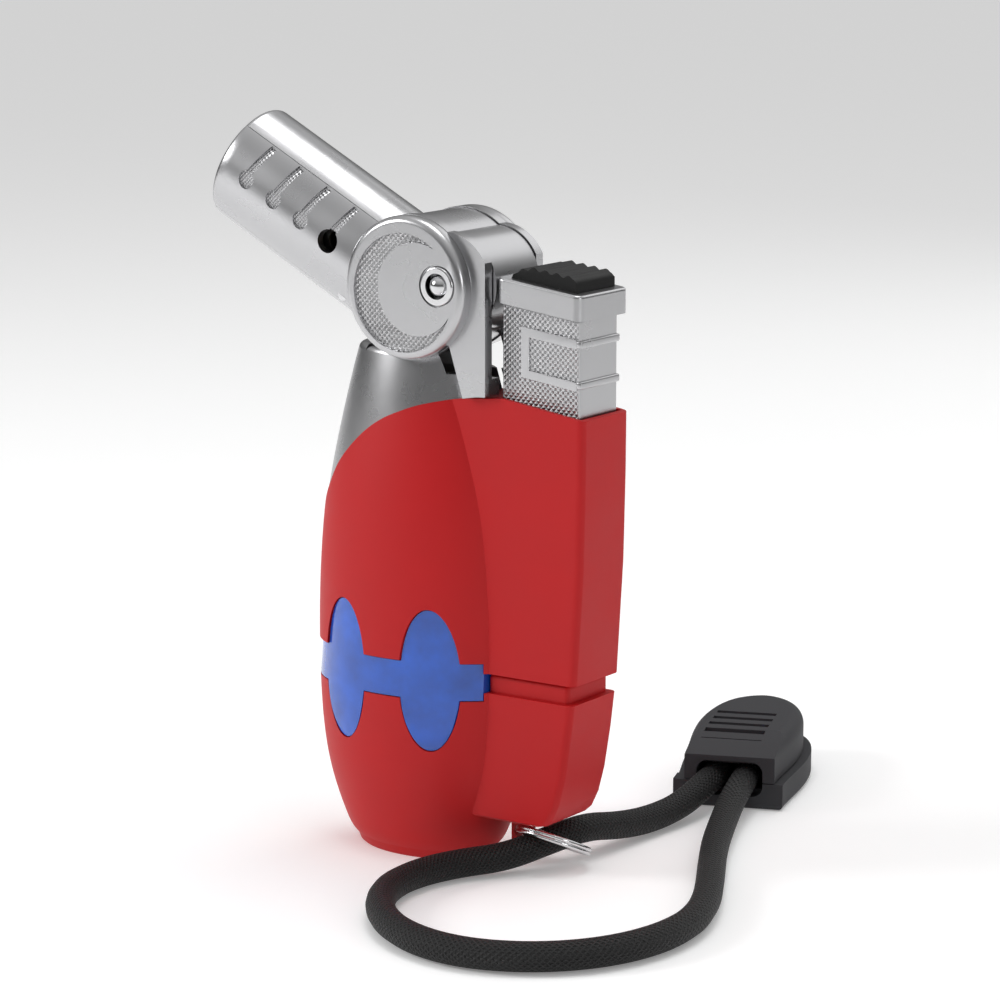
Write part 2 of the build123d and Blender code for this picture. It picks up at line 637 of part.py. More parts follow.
def shell_screws():
    """The two small screws that hold the neck casting in the upper shell."""
    screws = []
    for side in (-1, 1):
        screws.append(rod(-6.2, side * 2.2, 35.25, 40.5, 0.6) + rod(-6.2, side * 2.2, 40.4, 41.2, 1.1))
    return Compound(children=screws)


# ---- lanyard ------------------------------------------------------------------------------------
def corner_radii(points):
    """Arc radii for a route: 0.45 of the shorter run over the tangent of half the turn."""
    radii = []
    for a, b, c in zip(points, points[1:], points[2:]):
        first, second = Vector(*b) - Vector(*a), Vector(*c) - Vector(*b)
        turn = radians(first.get_angle(second))
        radii.append(0.45 * min(first.length, second.length) / tan(turn / 2))
    return radii


def lanyard_cord():
    """The elastic cord from the clip, through the split ring, round and back into the clip."""
    radii = corner_radii(CORD_ROUTE)
    path = FilletPolyline(*CORD_ROUTE, radius=radii)
    tube = sweep(Plane(origin=path @ 0, z_dir=path % 0) * Circle(CORD_D / 2), path=path)
    expected = pi * CORD_D ** 2 / 4 * path.length
    print("cord length %.1f mm, volume over section times length %.4f" % (path.length, tube.volume / expected))
    print("cord radii", " ".join("%.1f" % r for r in radii))
    return tube


def clip_frame():
    """The clip's own frame: local Y runs from its mouth to its back, Z up."""
    return Pos(CLIP_FRONT[0], CLIP_FRONT[1], 0) * Rot(0, 0, CLIP_TURN)


def clip_outline(grow):
    """Plan of the clip, rounded at the back."""
    half = 5.3 + grow
    points = [(-half + 0.4, 0), (-half - 0.3, 8), (-half, 17), (-half + 2.6, 22.6), (0, 23.8 + grow)]
    mirrored = [(-x, y) for x, y in reversed(points[:-1])]
    side = Spline(*points, *mirrored)
    return make_face(side + Line(mirrored[-1], points[0]))


def clip_mouth():
    """The hollow in which both ends of the cord are clamped."""
    mouth = block(-3.6, 3.6, -1, 9, 1.4, 5.2)
    return fillet(mouth.edges().filter_by(Axis.Y), 1.2)


def clip_teeth(low, high):
    """The two ridges that bite on the cord."""
    return block(-3.7, 3.7, 1.5, 2.0, low, high)


def clip_bottom():
    """The lower half of the cord clip, with a thumb groove round its edge."""
    body = extrude(clip_outline(0.9), amount=2.9)
    body = fillet(body.edges().group_by(Axis.Z)[0], 0.7)
    body -= clip_mouth()
    body += block(-6.35, -5.2, 1.2, 3.6, 0.6, 2.6)
    return clip_frame() * (body + clip_teeth(1.3, 1.95))


def clip_top():
    """The ribbed upper half of the cord clip."""
    body = Pos(0, 0, 3.0) * extrude(clip_outline(0), amount=4.0)
    body = fillet(body.edges().group_by(Axis.Z)[-1], 1.5)
    wedge = make_face(Polyline((-1, 5.6), (9, 7.3), (-1, 9.0), (-1, 5.6)))
    nose = extrude(Plane.YZ * wedge, amount=10, both=True)
    body -= nose
    for step in range(5):
        y = 4.0 + 2.5 * step
        body -= Pos(-0.6, y, 7.15 - 0.12 * max(0, 2 - step)) * Box(6.6, 1.0, 0.9)
    return clip_frame() * (body - clip_mouth() + clip_teeth(4.65, 5.3))


def split_ring():
    """The double-wound wire ring that ties the cord to the lug."""
    along = Vector(cos(radians(6)), 0, -sin(radians(6)))
    tilt = radians(RING_TILT)
    across = Vector(0, -cos(tilt), sin(tilt))
    centre = Vector(LUG_X, 0, LUG_Z) + along * RING_R
    plane = Plane(origin=centre, x_dir=along, z_dir=along.cross(across))
    turns = [plane * Pos(0, 0, h) * Torus(RING_R, RING_WIRE / 2) for h in (-0.19, 0.19)]
    return turns[0] + turns[1]


PIECES = {
    "lower_shell": lower_shell,
    "upper_shell": upper_shell,
    "fuel_tank": fuel_tank,
    "tank_lid": tank_lid,
    "tank_seal": tank_seal,
    "gas_valve_body": gas_valve_body,
    "valve_stem": valve_stem,
    "valve_spring": valve_spring,
    "valve_lever": valve_lever,
    "lever_pin": lever_pin,
    "wick": wick,
    "gas_hose": gas_hose,
    "fill_valve_body": fill_valve_body,
    "fill_valve_stem": fill_valve_stem,
    "fill_valve_spring": fill_valve_spring,
    "fill_valve_seal": fill_valve_seal,
    "flame_adjuster": flame_adjuster,
    "neck_frame": neck_frame,
    "near_disc_cover": lambda: disc_cover(-1),
    "far_disc_cover": lambda: disc_cover(1),
    "near_hinge_collar": lambda: hinge_collar(-1),
    "far_hinge_collar": lambda: hinge_collar(1),
    "hinge_pin": hinge_pin,
    "arm_frame": arm_frame,
    "near_arm_cover": lambda: arm_cover(-1),
    "far_arm_cover": lambda: arm_cover(1),
    "burner_tube": burner_tube,
    "flame_holder": flame_holder,
    "mixer_jet": mixer_jet,
    "feed_tube": feed_tube,
    "electrode_insulator": electrode_insulator,
    "electrode_rod": electrode_rod,
    "arm_rivet": arm_rivet,
    "trigger_body": trigger_body,
    "trigger_cap": trigger_cap,
    "thumb_pad": thumb_pad,
    "piezo_case": piezo_case,
    "piezo_plunger": piezo_plunger,
    "trigger_spring": trigger_spring,
    "ignition_wire": ignition_wire,
    "shell_screws": shell_screws,
    "lanyard_cord": lanyard_cord,
    "clip_top": clip_top,
    "clip_bottom": clip_bottom,
    "split_ring": split_ring,
}


def main():
    """Build every piece and write it under parts/."""
    os.makedirs("parts", exist_ok=True)
    for name, make in PIECES.items():
        export_step(make(), os.path.join("parts", name + ".step"))


main()
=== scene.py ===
"""Looks of the folding pocket torch: finishes, detailed pieces, lanyard, floor, light and camera."""

import logging
import math
from collections.abc import Callable
from dataclasses import dataclass, field
from enum import Enum

import bpy
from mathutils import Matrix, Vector


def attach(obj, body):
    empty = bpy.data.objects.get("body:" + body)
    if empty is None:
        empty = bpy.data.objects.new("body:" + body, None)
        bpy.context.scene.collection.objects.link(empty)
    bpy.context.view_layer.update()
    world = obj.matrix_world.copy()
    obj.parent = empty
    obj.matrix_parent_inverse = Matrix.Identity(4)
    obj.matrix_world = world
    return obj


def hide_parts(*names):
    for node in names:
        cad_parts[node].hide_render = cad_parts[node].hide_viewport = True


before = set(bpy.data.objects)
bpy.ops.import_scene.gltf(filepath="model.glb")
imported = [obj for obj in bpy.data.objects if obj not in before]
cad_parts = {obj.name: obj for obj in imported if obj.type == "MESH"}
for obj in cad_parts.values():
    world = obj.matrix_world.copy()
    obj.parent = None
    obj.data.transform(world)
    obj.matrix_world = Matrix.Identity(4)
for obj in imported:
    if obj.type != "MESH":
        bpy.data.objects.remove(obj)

MM = 0.001
log = logging.getLogger("torch")
Point = tuple[float, float, float]


class Side(Enum):
    """The two faces of the torch, by the sign of Y."""

    NEAR = -1
    FAR = 1


class Edge(Enum):
    """How a bump pattern runs over a surface."""

    GRAIN = "grain"
    KNURL = "knurl"
    BRUSHED = "brushed"


# ---- finishes -----------------------------------------------------------------------------------
@dataclass(frozen=True)
class Finish:
    """A surface finish: colour, gloss and a fine pattern in the surface."""

    name: str
    colour: tuple[float, float, float]
    roughness: float
    metallic: float = 0.0
    # variation and cloud set the strength and scale of the colour mottle: random tone on most finishes,
    # painted caustic light on the clear blue.
    variation: float = 0.06
    pattern: Edge = Edge.GRAIN
    pitch: float = 0.3
    depth: float = 0.01
    strength: float = 0.3
    coat: float = 0.0
    transmission: float = 0.0
    specular: float = 0.5
    cloud: float = 180.0

    def make(self) -> bpy.types.Material:
        """Build the material, or return it if it is already made.

        Returns:
            The material of this name.
        """
        if self.name in bpy.data.materials:
            return bpy.data.materials[self.name]
        material = bpy.data.materials.new(self.name)
        material.use_nodes = True
        tree = material.node_tree
        shader = tree.nodes["Principled BSDF"]
        shader.inputs["Metallic"].default_value = self.metallic
        shader.inputs["Coat Weight"].default_value = self.coat
        shader.inputs["Coat Roughness"].default_value = 0.15
        shader.inputs["Transmission Weight"].default_value = self.transmission
        shader.inputs["Specular IOR Level"].default_value = self.specular
        place = tree.nodes.new("ShaderNodeTexCoord")
        self._tint(tree, shader, place)
        self._relief(tree, shader, place)
        return material

    def _tint(self, tree: bpy.types.NodeTree, shader: bpy.types.Node, place: bpy.types.Node) -> None:
        """Vary the colour and the roughness over the surface: a little random tone on most finishes, and on
        the clear blue a strong mottle that is painted caustic light.

        Args:
            tree: The material's nodes.
            shader: Its principled shader.
            place: Its coordinates.
        """
        cloud = tree.nodes.new("ShaderNodeTexNoise")
        cloud.inputs["Scale"].default_value = self.cloud
        cloud.inputs["Detail"].default_value = 4.0
        tree.links.new(place.outputs["Object"], cloud.inputs["Vector"])
        mix = tree.nodes.new("ShaderNodeMix")
        mix.data_type = "RGBA"
        low = [max(0.0, c * (1 - self.variation)) for c in self.colour]
        high = [min(1.0, c * (1 + self.variation)) for c in self.colour]
        mix.inputs["A"].default_value = (*low, 1)
        mix.inputs["B"].default_value = (*high, 1)
        tree.links.new(cloud.outputs["Fac"], mix.inputs["Factor"])
        tree.links.new(mix.outputs["Result"], shader.inputs["Base Color"])
        gloss = tree.nodes.new("ShaderNodeMapRange")
        gloss.inputs["To Min"].default_value = self.roughness * 0.85
        gloss.inputs["To Max"].default_value = min(1.0, self.roughness * 1.15)
        tree.links.new(cloud.outputs["Fac"], gloss.inputs["Value"])
        tree.links.new(gloss.outputs["Result"], shader.inputs["Roughness"])

    def _relief(self, tree: bpy.types.NodeTree, shader: bpy.types.Node, place: bpy.types.Node) -> None:
        """Raise the fine pattern in the surface.

        Args:
            tree: The material's nodes.
            shader: Its principled shader.
            place: Its coordinates.
        """
        bump = tree.nodes.new("ShaderNodeBump")
        bump.inputs["Strength"].default_value = self.strength
        bump.inputs["Distance"].default_value = self.depth * MM
        if self.pattern is Edge.KNURL:
            height = self._knurl(tree, place)
        else:
            grain = tree.nodes.new("ShaderNodeTexNoise")
            grain.inputs["Scale"].default_value = 1 / (self.pitch * MM)
            grain.inputs["Detail"].default_value = 3.0
            tree.links.new(place.outputs["Object"], grain.inputs["Vector"])
            height = grain.outputs["Fac"]
        tree.links.new(height, bump.inputs["Height"])
        tree.links.new(bump.outputs["Normal"], shader.inputs["Normal"])

    def _knurl(self, tree: bpy.types.NodeTree, place: bpy.types.Node) -> bpy.types.NodeSocket:
        """Cross two sets of ridges into small pyramids, on faces that look along Y.

        Args:
            tree: The material's nodes.
            place: Its coordinates.

        Returns:
            The height of the pattern.
        """
        height = None
        for turn in (45.0, -45.0):
            map_ = tree.nodes.new("ShaderNodeMapping")
            map_.inputs["Rotation"].default_value = (0, math.radians(turn), 0)
            tree.links.new(place.outputs["Object"], map_.inputs["Vector"])
            wave = tree.nodes.new("ShaderNodeTexWave")
            wave.wave_profile = "TRI"
            wave.inputs["Scale"].default_value = 0.314 / (self.pitch * MM)
            tree.links.new(map_.outputs["Vector"], wave.inputs["Vector"])
            if height is None:
                height = wave.outputs["Fac"]
                continue
            lower = tree.nodes.new("ShaderNodeMath")
            lower.operation = "MINIMUM"
            tree.links.new(height, lower.inputs[0])
            tree.links.new(wave.outputs["Fac"], lower.inputs[1])
            height = lower.outputs[0]
        return height


SOFT_RED = Finish("soft_red", (0.50, 0.008, 0.010), 0.5, variation=0.05, pitch=0.09, depth=0.012,
                  strength=0.22, specular=0.28)
SATIN_CHROME = Finish("satin_chrome", (0.50, 0.50, 0.51), 0.28, metallic=1.0, variation=0.03, pitch=0.12,
                      depth=0.002, strength=0.15)
KNURLED = Finish("knurled_chrome", (0.56, 0.56, 0.57), 0.33, metallic=1.0, pattern=Edge.KNURL, pitch=0.42,
                 depth=0.12, strength=1.0)
FINE_KNURL = Finish("fine_knurl", (0.52, 0.52, 0.53), 0.36, metallic=1.0, pattern=Edge.KNURL, pitch=0.3,
                    depth=0.1, strength=1.0)
# The clear blue's strong colour mottle (variation 0.6 at cloud 300) is painted caustic light inside the tank,
# not the plastic's own tone.
BLUE_CLEAR = Finish("clear_blue", (0.004, 0.105, 0.62), 0.07, variation=0.6, pitch=4.0, depth=0.2,
                    strength=0.3, coat=0.5, transmission=0.2, cloud=300.0)
SMOKE_CLEAR = Finish("clear_lid", (0.75, 0.77, 0.8), 0.15, transmission=0.5)
PAD_RUBBER = Finish("pad_rubber", (0.006, 0.006, 0.006), 0.5, variation=0.2, pitch=0.15, depth=0.02,
                    specular=0.25)
CLIP_PLASTIC = Finish("clip_plastic", (0.007, 0.007, 0.0075), 0.38, variation=0.2, pitch=0.22, depth=0.03,
                      strength=0.5, specular=0.35)
IGNITER = Finish("igniter_plastic", (0.02, 0.02, 0.022), 0.4, variation=0.15)
BRASS = Finish("turned_brass", (0.72, 0.50, 0.20), 0.25, metallic=1.0)
STEEL = Finish("bright_steel", (0.66, 0.66, 0.67), 0.16, metallic=1.0, variation=0.04)
TUBE_STEEL = Finish("burner_steel", (0.30, 0.29, 0.28), 0.35, metallic=1.0, variation=0.2)
CERAMIC = Finish("ceramic", (0.83, 0.80, 0.74), 0.45, variation=0.04)
HOSE = Finish("soft_hose", (0.55, 0.53, 0.47), 0.5)
WICK = Finish("wick_fibre", (0.8, 0.77, 0.7), 0.9, pitch=0.2, depth=0.1, strength=0.8)


@dataclass(frozen=True)
class BraidFinish:
    """The woven cover of the elastic cord, patterned along the cord's own surface map, with painted shade in
    the grooves between the threads.
    """

    name: str = "braided_cord"
    along: float = 230.0
    around: float = 16.0

    def make(self) -> bpy.types.Material:
        """Build the material.

        Returns:
            The braid.
        """
        material = bpy.data.materials.new(self.name)
        material.use_nodes = True
        tree = material.node_tree
        shader = tree.nodes["Principled BSDF"]
        place = tree.nodes.new("ShaderNodeTexCoord")
        split = tree.nodes.new("ShaderNodeSeparateXYZ")
        tree.links.new(place.outputs["UV"], split.inputs["Vector"])
        ridges = [self._ridge(tree, split, sign) for sign in (1.0, -1.0)]
        top = tree.nodes.new("ShaderNodeMath")
        top.operation = "MAXIMUM"
        for slot, ridge in enumerate(ridges):
            tree.links.new(ridge, top.inputs[slot])
        bump = tree.nodes.new("ShaderNodeBump")
        bump.inputs["Strength"].default_value = 0.9
        bump.inputs["Distance"].default_value = 0.16 * MM
        tree.links.new(top.outputs[0], bump.inputs["Height"])
        tree.links.new(bump.outputs["Normal"], shader.inputs["Normal"])
        # Painted shade: the grooves between the threads are coloured darker than the thread tops, following
        # the braid's height.
        ramp = tree.nodes.new("ShaderNodeValToRGB")
        ramp.color_ramp.elements[0].color = (0.001, 0.001, 0.001, 1)
        ramp.color_ramp.elements[1].color = (0.006, 0.006, 0.0065, 1)
        tree.links.new(top.outputs[0], ramp.inputs["Fac"])
        tree.links.new(ramp.outputs["Color"], shader.inputs["Base Color"])
        shader.inputs["Roughness"].default_value = 0.62
        return material

    def _ridge(self, tree: bpy.types.NodeTree, split: bpy.types.Node, sign: float) -> bpy.types.NodeSocket:
        """One family of threads, wound one way round the cord.

        Args:
            tree: The material's nodes.
            split: The separated surface map.
            sign: 1 for one way round, -1 for the other.

        Returns:
            The height of these threads.
        """
        lengthways = tree.nodes.new("ShaderNodeMath")
        lengthways.operation = "MULTIPLY"
        lengthways.inputs[1].default_value = self.along * 2 * math.pi
        tree.links.new(split.outputs["X"], lengthways.inputs[0])
        both = tree.nodes.new("ShaderNodeMath")
        both.operation = "MULTIPLY_ADD"
        both.inputs[1].default_value = sign * self.around * 2 * math.pi
        tree.links.new(split.outputs["Y"], both.inputs[0])
        tree.links.new(lengthways.outputs[0], both.inputs[2])
        wave = tree.nodes.new("ShaderNodeMath")
        wave.operation = "SINE"
        tree.links.new(both.outputs[0], wave.inputs[0])
        return wave.outputs[0]


# ---- modelling helpers --------------------------------------------------------------------------
def deselect() -> None:
    """Leave nothing selected, in object mode."""
    if bpy.context.object and bpy.context.object.mode != "OBJECT":
        bpy.ops.object.mode_set(mode="OBJECT")
    bpy.ops.object.select_all(action="DESELECT")


def named(name: str) -> bpy.types.Object:
    """Name the active object and its mesh, and apply its place.

    Args:
        name: The piece's name.

    Returns:
        The active object.
    """
    piece = bpy.context.object
    piece.name = name
    piece.data.name = name
    bpy.ops.object.transform_apply(location=True, rotation=True, scale=True)
    return piece


def pick_only(piece: bpy.types.Object) -> None:
    """Make one object the selected and active one.

    Args:
        piece: The object.
    """
    deselect()
    piece.select_set(True)
    bpy.context.view_layer.objects.active = piece


def apply_modifier(piece: bpy.types.Object, kind: str, **settings: object) -> None:
    """Add a modifier to a piece and apply it.

    Args:
        piece: The object.
        kind: The modifier's type.
        settings: Its properties.
    """
    pick_only(piece)
    modifier = piece.modifiers.new(kind.lower(), kind)
    for key, value in settings.items():
        setattr(modifier, key, value)
    bpy.ops.object.modifier_apply(modifier=modifier.name)


def cut(piece: bpy.types.Object, tool: bpy.types.Object, keep_tool: bool = False,
        how: str = "DIFFERENCE") -> None:
    """Cut a piece with a closed tool.

    Args:
        piece: The object to cut.
        tool: The cutting solid.
        keep_tool: True if the tool is needed again.
        how: The boolean's operation.
    """
    apply_modifier(piece, "BOOLEAN", object=tool, operation=how, solver="EXACT")
    if not keep_tool:
        bpy.data.objects.remove(tool, do_unlink=True)


def smooth(piece: bpy.types.Object, angle: float = 35.0) -> None:
    """Shade a piece smooth up to an edge angle in degrees.

    Args:
        piece: The object.
        angle: The sharpest edge that still looks smooth.
    """
    pick_only(piece)
    bpy.ops.object.shade_smooth_by_angle(angle=math.radians(angle))
    apply_modifier(piece, "WEIGHTED_NORMAL", keep_sharp=True, weight=80)


def outwards(piece: bpy.types.Object) -> None:
    """Merge doubles and point every face outwards.

    Args:
        piece: The object.
    """
    pick_only(piece)
    bpy.ops.object.mode_set(mode="EDIT")
    bpy.ops.mesh.select_all(action="SELECT")
    bpy.ops.mesh.remove_doubles(threshold=0.002 * MM)
    bpy.ops.mesh.normals_make_consistent(inside=False)
    bpy.ops.object.mode_set(mode="OBJECT")


def dress(piece: bpy.types.Object, finish: object) -> None:
    """Give a whole piece one finish.

    Args:
        piece: The object.
        finish: A finish with a make method.
    """
    piece.data.materials.clear()
    piece.data.materials.append(finish.make())


def raise_rings(name: str, rings: list[tuple[float, float, float, float]], segments: int) -> bpy.types.Object:
    """Draw an oval and extrude it upwards through a list of sizes, closed at both ends.

    Args:
        name: The piece's name.
        rings: Centre X, height, half-width along X and half-width along Y of each section, in mm.
        segments: Points round the oval.

    Returns:
        The closed solid.
    """
    deselect()
    first = rings[0]
    bpy.ops.mesh.primitive_circle_add(vertices=segments, radius=1.0 * MM, fill_type="NGON",
                                      location=(first[0] * MM, 0, first[1] * MM))
    piece = bpy.context.object
    piece.scale = (first[2], first[3], 1)
    bpy.ops.object.transform_apply(location=True, rotation=True, scale=True)
    bpy.ops.object.mode_set(mode="EDIT")
    bpy.ops.mesh.select_all(action="SELECT")
    for before, after in zip(rings, rings[1:]):
        shift = ((after[0] - before[0]) * MM, 0, (after[1] - before[1]) * MM)
        bpy.ops.mesh.extrude_region_move(TRANSFORM_OT_translate={"value": shift})
        bpy.ops.transform.resize(value=(after[2] / before[2], after[3] / before[3], 1),
                                 center_override=(after[0] * MM, 0, after[1] * MM))
    bpy.ops.object.mode_set(mode="OBJECT")
    piece = named(name)
    outwards(piece)
    return piece


def smooth_line(points: list[tuple[float, float]], steps: int = 8) -> list[tuple[float, float]]:
    """Round a list of points into a flowing line through all of them.

    Args:
        points: The points, as pairs.
        steps: Steps between neighbours.

    Returns:
        The denser line.
    """
    line = []
    last = len(points) - 1
    for i in range(last):
        p0, p1, p2, p3 = (Vector(points[max(0, min(last, k))]) for k in (i - 1, i, i + 1, i + 2))
        for step in range(steps):
            t = step / steps
            q = 2 * p1 + (p2 - p0) * t + (2 * p0 - 5 * p1 + 4 * p2 - p3) * t * t
            q += (3 * p1 - p0 - 3 * p2 + p3) * t ** 3
            line.append((q[0] / 2, q[1] / 2))
    line.append(tuple(points[-1]))
    return line


def prism(name: str, outline: list[tuple[float, float]], y0: float, y1: float) -> bpy.types.Object:
    """A flat outline in X and Z, given depth along Y.

    Args:
        name: The piece's name.
        outline: The closed outline, in mm.
        y0: Its first Y, in mm.
        y1: Its second Y, in mm.

    Returns:
        The closed solid.
    """
    deselect()
    curve = bpy.data.curves.new(name, "CURVE")
    curve.dimensions = "2D"
    curve.fill_mode = "BOTH"
    curve.extrude = abs(y1 - y0) / 2 * MM
    line = curve.splines.new("POLY")
    line.points.add(len(outline) - 1)
    for point, (x, z) in zip(line.points, outline):
        point.co = (x * MM, z * MM, 0, 1)
    line.use_cyclic_u = True
    piece = bpy.data.objects.new(name, curve)
    bpy.context.collection.objects.link(piece)
    pick_only(piece)
    bpy.ops.object.convert(target="MESH")
    piece = bpy.context.object
    piece.rotation_euler = (math.radians(90), 0, 0)
    piece.location = (0, (y0 + y1) / 2 * MM, 0)
    piece = named(name)
    outwards(piece)
    return piece


def cross_bar(name: str, x: float, z: float, radius: float, y0: float, y1: float,
              segments: int = 48) -> bpy.types.Object:
    """A round bar along Y, as a tool or a start.

    Args:
        name: The piece's name.
        x: Its centre X, in mm.
        z: Its centre Z, in mm.
        radius: Its radius, in mm.
        y0: Its first Y, in mm.
        y1: Its second Y, in mm.
        segments: Points round it.

    Returns:
        The closed solid.
    """
    deselect()
    bpy.ops.mesh.primitive_cylinder_add(vertices=segments, radius=radius * MM, depth=abs(y1 - y0) * MM,
                                        location=(x * MM, (y0 + y1) / 2 * MM, z * MM),
                                        rotation=(math.radians(90), 0, 0))
    return named(name)


def brick(name: str, low: Point, high: Point) -> bpy.types.Object:
    """A box between two corners, as a tool or a start.

    Args:
        name: The piece's name.
        low: Its lowest corner, in mm.
        high: Its highest corner, in mm.

    Returns:
        The closed solid.
    """
    deselect()
    middle = [(a + b) / 2 * MM for a, b in zip(low, high)]
    bpy.ops.mesh.primitive_cube_add(size=1.0, location=middle)
    bpy.context.object.scale = [(b - a) * MM for a, b in zip(low, high)]
    return named(name)


# ---- camera, light and floor --------------------------------------------------------------------
@dataclass
class Studio:
    """The pale floor, the soft lights and the camera."""

    azimuth: float = 34.44
    elevation: float = 10.99
    distance: float = 0.35885
    aim: Point = (0.0091, 0.0, 0.03727)
    lens: float = 128.73

    def build(self) -> None:
        """Make the camera, the lights and the floor."""
        self._camera()
        self._lights()
        self._floor()

    def _camera(self) -> None:
        """Place the camera at its viewing angle."""
        turn, lift = math.radians(self.azimuth), math.radians(self.elevation)
        way = Vector((math.sin(turn) * math.cos(lift), -math.cos(turn) * math.cos(lift), math.sin(lift)))
        data = bpy.data.cameras.new("camera")
        data.lens = self.lens
        data.sensor_width = 36.0
        data.clip_start = 0.01
        camera = bpy.data.objects.new("camera", data)
        bpy.context.collection.objects.link(camera)
        camera.location = Vector(self.aim) + way * self.distance
        camera.rotation_euler = way.to_track_quat("Z", "Y").to_euler()
        bpy.context.scene.camera = camera

    def _lights(self) -> None:
        """Hang the soft boxes and light the room evenly."""
        boxes = [
            ("key", (-0.34, -0.28, 0.24), 0.16, 0.95),
            ("fill", (0.42, -0.12, 0.14), 0.12, 0.20),
            ("top", (0.02, 0.04, 0.45), 0.22, 0.55),
            ("back", (0.05, 0.40, 0.25), 0.30, 0.25),
        ]
        for name, place, size, power in boxes:
            data = bpy.data.lights.new(name, "AREA")
            data.size = size
            data.energy = power
            light = bpy.data.objects.new(name, data)
            bpy.context.collection.objects.link(light)
            light.location = place
            away = Vector(place) - Vector((0.005, 0, 0.035))
            light.rotation_euler = away.to_track_quat("Z", "Y").to_euler()
        bpy.context.scene.world = self._room()
        bpy.context.scene.view_settings.view_transform = "Standard"

    def _room(self) -> bpy.types.World:
        """The room's own light: a white backdrop, with darker walls for bright metal to reflect.

        Returns:
            The world.
        """
        world = bpy.data.worlds.new("room")
        world.use_nodes = True
        tree = world.node_tree
        light = tree.nodes["Background"]
        place = tree.nodes.new("ShaderNodeTexCoord")
        split = tree.nodes.new("ShaderNodeSeparateXYZ")
        tree.links.new(place.outputs["Generated"], split.inputs["Vector"])
        ramp = tree.nodes.new("ShaderNodeValToRGB")
        ramp.color_ramp.interpolation = "EASE"
        stops = ramp.color_ramp.elements
        stops[0].position, stops[0].color = 0.0, (0.55, 0.55, 0.55, 1)
        stops[1].position, stops[1].color = 1.0, (1.0, 1.0, 1.0, 1)
        for position, grey in ((0.42, 0.22), (0.50, 0.07), (0.60, 0.20), (0.76, 0.62)):
            stop = stops.new(position)
            stop.color = (grey, grey, grey, 1)
        half = tree.nodes.new("ShaderNodeMapRange")
        half.inputs["From Min"].default_value = -1.0
        tree.links.new(split.outputs["Z"], half.inputs["Value"])
        tree.links.new(half.outputs["Result"], ramp.inputs["Fac"])
        tree.links.new(ramp.outputs["Color"], light.inputs["Color"])
        light.inputs["Strength"].default_value = 0.72
        seen = tree.nodes.new("ShaderNodeBackground")
        seen.inputs["Color"].default_value = (1, 1, 1, 1)
        seen.inputs["Strength"].default_value = 1.0
        path = tree.nodes.new("ShaderNodeLightPath")
        mix = tree.nodes.new("ShaderNodeMixShader")
        tree.links.new(path.outputs["Is Camera Ray"], mix.inputs["Fac"])
        tree.links.new(light.outputs["Background"], mix.inputs[1])
        tree.links.new(seen.outputs["Background"], mix.inputs[2])
        tree.links.new(mix.outputs["Shader"], tree.nodes["World Output"].inputs["Surface"])
        return world

    def _floor(self) -> None:
        """Lay a plain pale sweep under and behind the torch."""
        deselect()
        bpy.ops.mesh.primitive_plane_add(size=4.0, location=(0, 0, 0))
        floor = named("floor")
        paper = Finish("floor_paper", (0.93, 0.93, 0.93), 0.8, variation=0.005, pitch=5.0, depth=0.001,
                       specular=0.1)
        dress(floor, paper)
        shader = floor.data.materials[0].node_tree.nodes["Principled BSDF"]
        shader.inputs["Emission Color"].default_value = (1, 1, 1, 1)
        shader.inputs["Emission Strength"].default_value = 0.17


# ---- lanyard ------------------------------------------------------------------------------------
@dataclass
class Lanyard:
    """The elastic cord, its clip and the split ring."""

    diameter: float = 2.9
    length: float = 149.6
    route: list[Point] = field(default_factory=lambda: [
        (16.4, 31.2, 3.3), (17.3, 26.4, 2.8), (17.6, 21.1, 1.85), (17.2, 15.6, 1.6), (16.8, 10.2, 2.2),
        (16.3, 5.2, 3.25), (15.3, 0.2, 2.95), (12.9, -4.5, 1.8), (9.7, -8.6, 1.6), (8.2, -13.6, 1.55),
        (8.7, -19.0, 1.55), (11.4, -24.2, 1.55), (15.8, -28.4, 1.55), (21.2, -31.0, 1.55), (27.0, -31.3, 1.55),
        (32.6, -28.9, 1.55), (36.9, -24.4, 1.55), (39.2, -18.4, 1.55), (39.2, -11.8, 1.55), (37.0, -5.4, 1.55),
        (33.8, 0.6, 1.55), (30.4, 6.6, 1.55), (27.2, 12.6, 1.6), (24.5, 18.6, 1.9), (22.0, 24.8, 2.7),
        (19.4, 32.4, 3.3)])

    def build(self) -> None:
        """Make the cord and dress the clip and ring."""
        cord = self._cord()
        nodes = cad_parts
        for name in ("clip_top", "clip_bottom"):
            dress(nodes[name], CLIP_PLASTIC)
        dress(nodes["split_ring"], STEEL)
        log.info("lanyard done")

    def _cord(self) -> bpy.types.Object:
        """Lay the cord along its route.

        Returns:
            The cord.
        """
        curve = bpy.data.curves.new("lanyard_cord_woven", "CURVE")
        curve.dimensions = "3D"
        curve.bevel_depth = self.diameter / 2 * MM
        curve.bevel_resolution = 6
        curve.resolution_u = 8
        curve.use_fill_caps = True
        line = curve.splines.new("NURBS")
        line.points.add(len(self.route) - 1)
        for point, place in zip(line.points, self.route):
            point.co = (*(v * MM for v in place), 1)
        line.order_u = 3
        line.use_endpoint_u = True
        cord = bpy.data.objects.new("lanyard_cord_woven", curve)
        bpy.context.collection.objects.link(cord)
        dress(cord, BraidFinish())
        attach(cord, "torch_body")
        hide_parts("lanyard_cord")
        return cord


